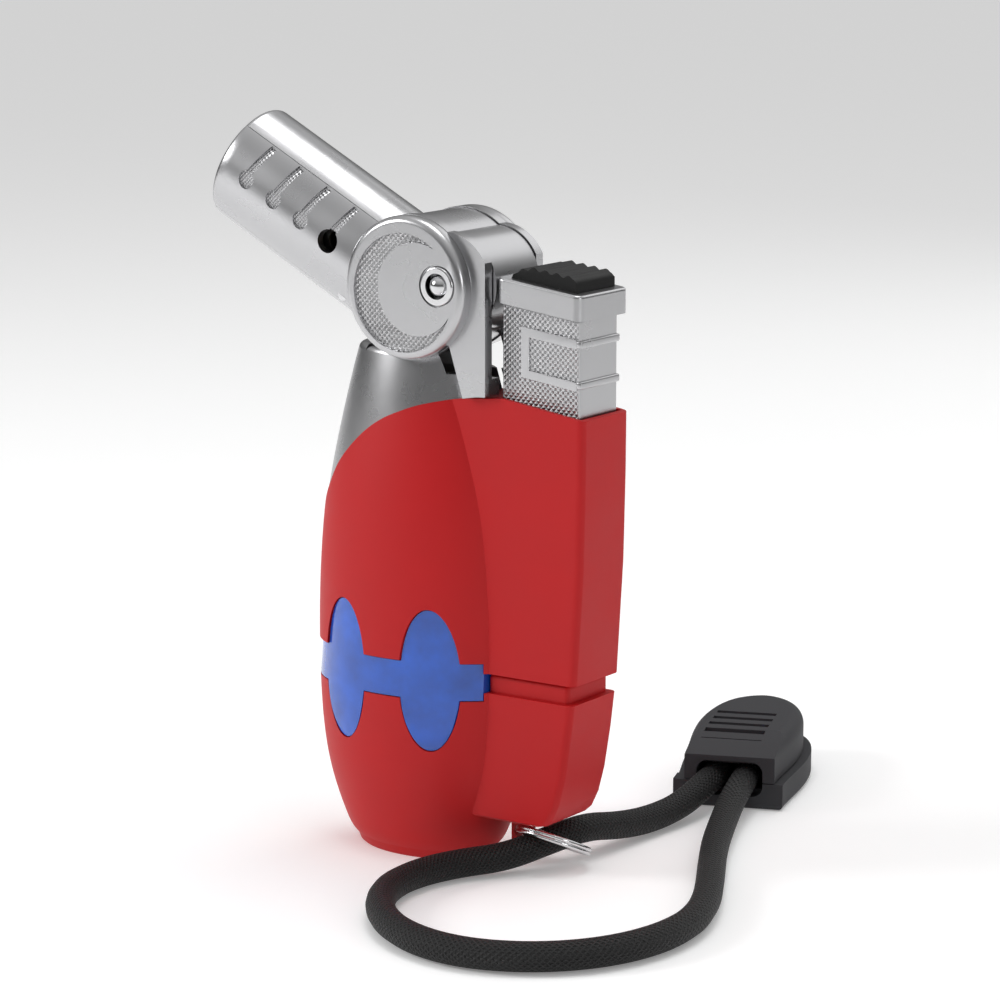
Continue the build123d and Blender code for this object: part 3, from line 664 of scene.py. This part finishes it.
# ---- red shells ---------------------------------------------------------------------------------
@dataclass
class Casing:
    """The two red shells and the clear tank that shows through them."""

    aspect: float = 0.65
    wall: float = 1.1
    belt_z: float = 19.45
    belly: list[tuple[float, float]] = field(default_factory=lambda: [
        (7.4, 0.0), (7.75, 0.25), (8.05, 0.9), (9.2, 2.4), (11.0, 7.2), (11.95, 12.3), (12.33, 19.4),
        (12.2, 28.0), (11.45, 36.3), (9.96, 43.5), (8.74, 48.3), (7.55, 52.4)])
    housing: list[tuple[float, float, float]] = field(default_factory=lambda: [
        (16.3, 5.25, 3.75), (17.25, 5.5, 4.0), (17.9, 6.1, 4.1), (18.7, 7.8, 4.14), (19.4, 10.5, 4.15),
        (20.1, 14.8, 4.15), (20.8, 20.5, 4.15), (21.5, 32.0, 4.15), (21.7, 41.0, 4.15), (21.75, 50.0, 4.15)])
    crest: list[tuple[float, float]] = field(default_factory=lambda: [
        (-12.8, 32.0), (-9.3, 37.3), (-7.1, 40.45), (-3.9, 43.5), (-1.3, 45.3), (1.1, 46.4), (3.4, 47.2),
        (6.9, 47.9), (12.3, 48.4)])

    def build(self) -> None:
        """Make both shells and dress the tank."""
        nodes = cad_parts
        lower = self._shell("lower_shell_soft", (-1.0, 17.5), (-1.0, 18.35))
        self._add_band(lower)
        upper = self._shell("upper_shell_soft", (21.4, 60.0), (20.35, 60.0))
        for piece, node in ((lower, "lower_shell"), (upper, "upper_shell")):
            smooth(piece, 32)
            carry(piece, SOFT_RED, "torch_body", node)
        dress(nodes["fuel_tank"], BLUE_CLEAR)

    def _add_band(self, shell: bpy.types.Object) -> None:
        """Add the narrow inset band between the two shells, and the lug under the housing.

        Args:
            shell: The lower shell.
        """
        band = brick("band_tool", (10.15, -3.6, 17.6), (19.75, 3.6, 20.25))
        apply_modifier(band, "BEVEL", width=0.5 * MM, segments=3)
        cut(band, brick("band_well_tool", (13.0, -2.55, 13.4), (19.4, 2.55, 31.1)))
        cut(shell, band, how="UNION")
        lug = brick("lug_tool", (10.7, -0.5, 2.1), (13.3, 0.5, 6.2))
        apply_modifier(lug, "BEVEL", width=0.35 * MM, segments=3)
        cut(lug, cross_bar("lug_hole_tool", 12.0, 3.35, 0.78, -2, 2))
        cut(shell, lug, how="UNION")
        for x, radius in ((3.6, 1.95), (-3.7, 1.65)):
            deselect()
            bpy.ops.mesh.primitive_cylinder_add(vertices=48, radius=radius * MM, depth=8 * MM,
                                                location=(x * MM, 0, 0))
            cut(shell, named("foot_hole_tool"))

    def _barrel(self, name: str, inset: float) -> bpy.types.Object:
        """The belly, with its surface moved inwards.

        Args:
            name: The piece's name.
            inset: How far inwards, in mm.

        Returns:
            The closed solid.
        """
        lower, upper = self.belly[:3], smooth_line(self.belly[2:], 5)
        sizes = [*lower[:2], *upper]
        rings = [(0.0, z, x - inset, (x - inset) * self.aspect) for x, z in sizes]
        return raise_rings(name, rings, 128)

    def _box(self, name: str) -> bpy.types.Object:
        """The housing beside the belly.

        Args:
            name: The piece's name.

        Returns:
            The closed solid.
        """
        left = 3.0
        deselect()
        bpy.ops.mesh.primitive_plane_add(size=1.0)
        piece = bpy.context.object
        right, low, half = self.housing[0]
        piece.scale = ((right - left) * MM, 2 * half * MM, 1)
        piece.location = ((right + left) / 2 * MM, 0, low * MM)
        bpy.ops.object.transform_apply(location=True, rotation=True, scale=True)
        bpy.ops.object.mode_set(mode="EDIT")
        bpy.ops.mesh.select_all(action="SELECT")
        bpy.ops.mesh.bevel(offset=0.6 * MM, segments=4, affect="VERTICES")
        bpy.ops.mesh.select_all(action="SELECT")
        for before, after in zip(self.housing, self.housing[1:]):
            lift = (0, 0, (after[1] - before[1]) * MM)
            bpy.ops.mesh.extrude_region_move(TRANSFORM_OT_translate={"value": lift})
            stretch = (after[0] - left) / (before[0] - left)
            bpy.ops.transform.resize(value=(stretch, after[2] / before[2], 1),
                                     center_override=(left * MM, 0, after[1] * MM))
        bpy.ops.object.mode_set(mode="OBJECT")
        piece = named(name)
        outwards(piece)
        return piece

    def _shell(self, name: str, belly_span: tuple[float, float],
               box_span: tuple[float, float]) -> bpy.types.Object:
        """One red shell, cut from the whole casing.

        Args:
            name: The piece's name.
            belly_span: Lowest and highest Z that this shell has on the belly.
            box_span: Lowest and highest Z that it has on the housing.

        Returns:
            The shell.
        """
        shell = self._barrel(name, 0.0)
        cut(shell, self._box("housing_tool"), how="UNION")
        cut(shell, self._barrel("hollow_tool", self.wall))
        crest = smooth_line(self.crest, 8)
        fall = 48.4 - 0.15 * (30 - 12.3)
        outline = [*crest, (30.0, fall), (30.0, 90.0), (-30.0, 90.0), (-30.0, 32.0)]
        cut(shell, prism("crest_tool", outline, -20, 20))
        for x in (-5.25, 5.25):
            oval = [(x + 3.15 * math.cos(t * math.pi / 48), self.belt_z + 7.35 * math.sin(t * math.pi / 48))
                    for t in range(96)]
            cut(shell, prism("window_tool", oval, -9.5, 9.5))
        cut(shell, brick("well_tool", (11.6, -3.65, 31.0), (21.15, 3.65, 60)))
        cut(shell, brick("igniter_tool", (13.0, -2.55, 13.4), (19.4, 2.55, 31.1)))
        cut(shell, brick("below_tool", (-20, -20, -5), (10.2, 20, belly_span[0])))
        cut(shell, brick("above_tool", (-20, -20, belly_span[1]), (10.2, 20, 60)))
        cut(shell, brick("under_box_tool", (10.15, -20, -5), (30, 20, box_span[0])))
        cut(shell, brick("over_box_tool", (10.15, -20, box_span[1]), (30, 20, 60)))
        return shell


def carry(piece: bpy.types.Object, finish: Finish, body: str, node: str) -> None:
    """Dress a finished piece, put it on its body and let it stand for its CAD node.

    Args:
        piece: The finished piece.
        finish: Its main finish.
        body: The body it rides on.
        node: The CAD node that it replaces.
    """
    dress(piece, finish)
    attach(piece, body)
    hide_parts(node)
    log.info("%s has %d faces", piece.name, len(piece.data.polygons))


def paint(piece: bpy.types.Object, finish: Finish, test: Callable[[Vector, Vector], bool]) -> None:
    """Give some faces of a piece a second finish.

    Args:
        piece: The piece.
        finish: The second finish.
        test: Says from a face's centre in mm and its normal whether it takes the finish.
    """
    piece.data.materials.append(finish.make())
    index = len(piece.data.materials) - 1
    for face in piece.data.polygons:
        if test(face.center / MM, face.normal):
            face.material_index = index


# ---- hinge head ---------------------------------------------------------------------------------
@dataclass
class HingeHead:
    """The two round covers of the hinge, with their knurled crescents."""

    centre: tuple[float, float] = (2.0, 58.85)
    radius: float = 7.2
    inner: float = 4.6
    outer: float = 6.7
    pin: tuple[float, float] = (6.15, 59.35)
    moon_out: tuple[float, float, float] = (1.95, 58.4, 5.95)
    moon_in: tuple[float, float, float] = (3.6, 58.84, 4.65)
    recess: float = 0.32

    def build(self) -> None:
        """Make both covers."""
        for side, node in ((Side.NEAR, "near_disc_cover"), (Side.FAR, "far_disc_cover")):
            cover = self._cover(node + "_crescent", side.value)
            carry(cover, SATIN_CHROME, "torch_body", node)
            floor = self.outer - self.recess
            paint(cover, KNURLED, lambda c, n: abs(abs(c.y) - floor) < 0.05 and abs(n.y) > 0.9
                  and (c - Vector((self.pin[0], c.y, self.pin[1]))).length > 2.2)

    def _moon(self) -> list[tuple[float, float]]:
        """The crescent's outline.

        Returns:
            Its points in X and Z.
        """
        (ox, oz, big), (ix, iz, small) = self.moon_out, self.moon_in
        apart = math.hypot(ix - ox, iz - oz)
        way = math.atan2(iz - oz, ix - ox)
        wide = math.acos((big ** 2 + apart ** 2 - small ** 2) / (2 * big * apart)) + 0.02
        narrow = math.acos((big ** 2 - apart ** 2 - small ** 2) / (2 * apart * small)) + 0.02
        outline = []
        for step in range(97):
            turn = way + wide + (2 * math.pi - 2 * wide) * step / 96
            outline.append((ox + big * math.cos(turn), oz + big * math.sin(turn)))
        for step in range(97):
            turn = way - narrow - (2 * math.pi - 2 * narrow) * step / 96
            outline.append((ix + small * math.cos(turn), iz + small * math.sin(turn)))
        return outline

    def _cover(self, name: str, side: int) -> bpy.types.Object:
        """One round cover with a rounded rim, a crescent recess and a seat for the pin's collar.

        Args:
            name: The piece's name.
            side: -1 for the near face, 1 for the far face.

        Returns:
            The cover.
        """
        cover = cross_bar(name, *self.centre, self.radius, side * self.inner, side * self.outer, 128)
        apply_modifier(cover, "BEVEL", width=0.75 * MM, segments=6, limit_method="ANGLE")
        cut(cover, prism("moon_tool", self._moon(), side * (self.outer - self.recess), side * 8))
        cut(cover, cross_bar("seat_tool", *self.pin, 2.12, side * (self.outer - 0.25), side * 8))
        cut(cover, cross_bar("pin_tool", *self.pin, 1.98, side * 4, side * 8))
        apply_modifier(cover, "BEVEL", width=0.07 * MM, segments=2, limit_method="ANGLE",
                       angle_limit=math.radians(55))
        smooth(cover, 40)
        return cover


# ---- burner arm ---------------------------------------------------------------------------------
@dataclass
class BurnerArm:
    """The two side covers of the arm, with their knurled keyhole marks and the air hole."""

    tip: tuple[float, float] = (-22.2, 69.6)
    rise: float = 28.0
    half_n: float = 6.3
    half_y: float = 5.5
    wall: float = 0.9
    split: float = 3.66
    length: float = 27.0
    ring_gap: float = 0.75
    mark_start: float = 3.9
    mark_step: float = 3.9
    mark_rise: float = 0.6
    mark_radius: float = 0.95
    air_hole: tuple[float, float] = (15.6, 0.5)
    hinge: HingeHead = field(default_factory=HingeHead)

    def build(self) -> None:
        """Make both covers."""
        for side, node in ((Side.NEAR, "near_arm_cover"), (Side.FAR, "far_arm_cover")):
            cover = self._cover(node + "_marked", side.value)
            carry(cover, SATIN_CHROME, "burner_arm", node)
            paint(cover, FINE_KNURL, self._in_mark)

    def spot(self, s: float, n: float = 0.0) -> tuple[float, float]:
        """A place on the arm.

        Args:
            s: Distance from the tip, in mm.
            n: Offset across the arm, in mm.

        Returns:
            Its X and Z.
        """
        turn = math.radians(self.rise)
        x = self.tip[0] + s * math.cos(turn) + n * math.sin(turn)
        return x, self.tip[1] - s * math.sin(turn) + n * math.cos(turn)

    def _in_mark(self, centre: Vector, normal: Vector) -> bool:
        """Whether a face is the floor of one of the marks.

        Args:
            centre: The face's centre, in mm.
            normal: Its normal.

        Returns:
            True on a floor.
        """
        turn = math.radians(self.rise)
        dx, dz = centre.x - self.tip[0], centre.z - self.tip[1]
        n = dx * math.sin(turn) + dz * math.cos(turn)
        s = dx * math.cos(turn) - dz * math.sin(turn)
        here = math.hypot(n / self.half_n, centre.y / self.half_y)
        return 0.92 < here < 0.968 and abs(normal.y) > 0.5 and -1.2 < n < 5.0 and 1.0 < s < 17.0

    def _oval(self, name: str, inset: float, start: float, end: float, lip: float) -> bpy.types.Object:
        """An oval bar along the arm.

        Args:
            name: The piece's name.
            inset: How far inside the arm's surface, in mm.
            start: Its first end's distance from the tip, in mm.
            end: Its second end's distance, in mm.
            lip: Rounding of the first end, in mm.

        Returns:
            The closed solid.
        """
        n, y = self.half_n - inset, self.half_y - inset
        rings = [(0.0, start, n - lip, y - lip)] if lip else []
        for turn in (30, 60, 90):
            grow = lip * (1 - math.sin(math.radians(turn)))
            if lip:
                rings.append((0.0, start + lip * (1 - math.cos(math.radians(turn))), n - grow, y - grow))
        if not lip:
            rings.append((0.0, start, n, y))
        steps = max(1, round((end - start) / self.ring_gap))
        run = end - start - lip
        rings += [(0.0, start + lip + run * step / steps, n, y) for step in range(1, steps + 1)]
        bar = raise_rings(name, rings, 128)
        bar.rotation_euler = (0, math.radians(90 + self.rise), 0)
        bar.location = (self.tip[0] * MM, 0, self.tip[1] * MM)
        pick_only(bar)
        return named(name)

    def _mark(self, index: int) -> bpy.types.Object:
        """The tool for one keyhole mark: a round bulb with a narrow stem.

        Args:
            index: 0 at the tip, 3 at the air hole.

        Returns:
            The tool.
        """
        s, n = self.mark_start + self.mark_step * index, self.mark_rise
        outline = []
        for degree in range(28, 333, 8):
            along = self.mark_radius * math.sin(math.radians(degree))
            across = self.mark_radius * math.cos(math.radians(degree))
            outline.append(self.spot(s + along, n + across))
        outline += [self.spot(s + 0.25, n + 4.0), self.spot(s + 1.05, n + 4.0)]
        return prism("mark_tool", outline, -7, 7)

    def _cover(self, name: str, side: int) -> bpy.types.Object:
        """One side cover.

        Args:
            name: The piece's name.
            side: -1 for the near face, 1 for the far face.

        Returns:
            The cover.
        """
        cover = self._oval(name, 0.0, 0.0, self.length, 0.5)
        cut(cover, self._oval("hollow_tool", self.wall, -1.0, 40.0, 0.0))
        near, far = sorted((side * self.split, side * 9))
        keep = brick("keep_tool", (-60, near, 20), (60, far, 90))
        cut(cover, keep, how="INTERSECT")
        cut(cover, cross_bar("disc_tool", *self.hinge.centre, self.hinge.radius + 0.2, -9, 9, 128))
        cut(cover, brick("right_tool", (2.0, -9, 30), (40, 9, 90)))
        px, pz = self.hinge.pin
        sector = [(px, pz)] + [(px + 11.6 * math.cos(math.radians(a)), pz + 11.6 * math.sin(math.radians(a)))
                               for a in range(186, 330, 3)]
        cut(cover, prism("sector_tool", sector, -9, 9))
        for index in range(4):
            mark = self._mark(index)
            cut(mark, self._oval("skin_tool", 0.26, -1.0, 40.0, 0.0))
            cut(cover, mark)
        cut(cover, cross_bar("air_tool", *self.spot(*self.air_hole), 1.2, -9, 9))
        pick_only(cover)
        bpy.ops.object.shade_smooth_by_angle(angle=math.radians(30))
        return cover


# ---- trigger ------------------------------------------------------------------------------------
@dataclass
class Trigger:
    """The knurled trigger box with its raised frames and ribs, and the ribbed thumb pad."""

    left: float = 11.7
    right: float = 20.8
    half: float = 3.4
    top: float = 58.0
    fall: float = 0.13

    def build(self) -> None:
        """Make the box and the pad."""
        box = self._box()
        carry(box, SATIN_CHROME, "trigger", "trigger_body")
        paint(box, KNURLED, lambda c, n: abs(n.y) > 0.95 and abs(abs(c.y) - self.half) < 0.02
              and c.z > 44 and self.left + 0.2 < c.x)
        pad = self._pad()
        carry(pad, PAD_RUBBER, "trigger", "thumb_pad")

    def _height(self, x: float, base: float) -> float:
        """Height of a line that falls with the trigger's top.

        Args:
            x: Where, in mm.
            base: Its height at the box's left side, in mm.

        Returns:
            The height, in mm.
        """
        return base - self.fall * (x - self.left)

    def _box(self) -> bpy.types.Object:
        """The box with two raised C frames and two ribs round its right side.

        Returns:
            The box.
        """
        outline = [(self.left, 37.6), (self.right, 37.6), (self.right, self._height(self.right, self.top)),
                   (self.left, self.top)]
        box = prism("trigger_box_knurled", outline, -self.half, self.half)
        apply_modifier(box, "BEVEL", width=0.3 * MM, segments=3, limit_method="ANGLE")
        cut(box, brick("hollow_tool", (self.left + 0.7, -2.7, 30), (self.right - 0.7, 2.7, 44.2)))
        parts = [brick("tab", (9.6, -1.2, 43.35), (12.0, 1.2, 44.55))]
        for side in (-1, 1):
            parts.append(self._frame(side))
        for z in (54.35, 50.35):
            rib = brick("rib", (self.right - 0.6, -self.half - 0.1, z - 0.4),
                        (self.right + 0.26, self.half + 0.1, z + 0.4))
            apply_modifier(rib, "BEVEL", width=0.2 * MM, segments=3)
            parts.append(rib)
        pick_only(box)
        for part in parts:
            part.select_set(True)
        bpy.ops.object.join()
        smooth(box, 40)
        return box

    def _frame(self, side: int) -> bpy.types.Object:
        """One raised C frame.

        Args:
            side: -1 for the near face, 1 for the far face.

        Returns:
            The frame.
        """
        x0, x1, x2 = 14.0, 14.95, self.right - 0.25
        outline = [(x2, self._height(x2, 56.0)), (x0, self._height(x0, 56.0)), (x0, self._height(x0, 50.9)),
                   (x2, self._height(x2, 50.9)), (x2, self._height(x2, 51.8)), (x1, self._height(x1, 51.8)),
                   (x1, self._height(x1, 55.05)), (x2, self._height(x2, 55.05))]
        ends = sorted((side * (self.half - 0.2), side * (self.half + 0.15)))
        frame_piece = prism("trigger_frame", outline, *ends)
        apply_modifier(frame_piece, "BEVEL", width=0.09 * MM, segments=2)
        return frame_piece

    def _pad(self) -> bpy.types.Object:
        """The rubber pad, rising from a thin left tip, with rounded ridges across it.

        Returns:
            The pad.
        """
        line = [(12.75, 60.3), (13.0, 60.75)]
        for step in range(41):
            x = 13.6 + 6.5 * step / 40
            high = 61.75 - self.fall * (x - 12.75) + min(0.0, (x - 15.0) * 0.42)
            line.append((x, high + 0.16 * math.cos(2 * math.pi * (x - 15.4) / 1.35)))
        line += [(20.45, 60.3), (20.45, 59.3)]
        pad = prism("thumb_pad_ribbed", line, -3.4, 3.4)
        apply_modifier(pad, "BEVEL", width=0.28 * MM, segments=3, limit_method="ANGLE",
                       angle_limit=math.radians(60))
        smooth(pad, 50)
        return pad


# ---- the rest of the torch ----------------------------------------------------------------------
@dataclass
class PlainNodes:
    """Pieces that keep their own shape and take a finish."""

    finishes: dict[str, Finish] = field(default_factory=lambda: {
        "neck_frame": SATIN_CHROME,
        "near_hinge_collar": STEEL, "far_hinge_collar": STEEL, "hinge_pin": STEEL, "arm_frame": SATIN_CHROME,
        "burner_tube": TUBE_STEEL,
        "flame_holder": TUBE_STEEL, "mixer_jet": BRASS, "feed_tube": BRASS, "electrode_insulator": CERAMIC,
        "electrode_rod": STEEL, "arm_rivet": STEEL, "trigger_cap": SATIN_CHROME,
        "piezo_case": IGNITER, "piezo_plunger": IGNITER, "trigger_spring": STEEL,
        "ignition_wire": IGNITER, "shell_screws": STEEL, "tank_lid": SMOKE_CLEAR, "tank_seal": PAD_RUBBER,
        "gas_valve_body": BRASS, "valve_stem": BRASS, "valve_spring": STEEL, "valve_lever": STEEL,
        "lever_pin": STEEL, "wick": WICK, "gas_hose": HOSE, "fill_valve_body": BRASS,
        "fill_valve_stem": BRASS, "fill_valve_spring": STEEL,
        "fill_valve_seal": PAD_RUBBER, "flame_adjuster": BRASS})

    def build(self) -> None:
        """Dress every plain piece."""
        for name, finish in self.finishes.items():
            dress(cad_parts[name], finish)
        log.info("%d plain pieces dressed", len(self.finishes))


def main() -> None:
    """Build the studio and the torch."""
    logging.basicConfig(level=logging.INFO, format="%(message)s")
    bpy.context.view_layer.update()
    Studio().build()
    Lanyard().build()
    Casing().build()
    HingeHead().build()
    BurnerArm().build()
    Trigger().build()
    PlainNodes().build()


if __name__ == "__main__":
    main()
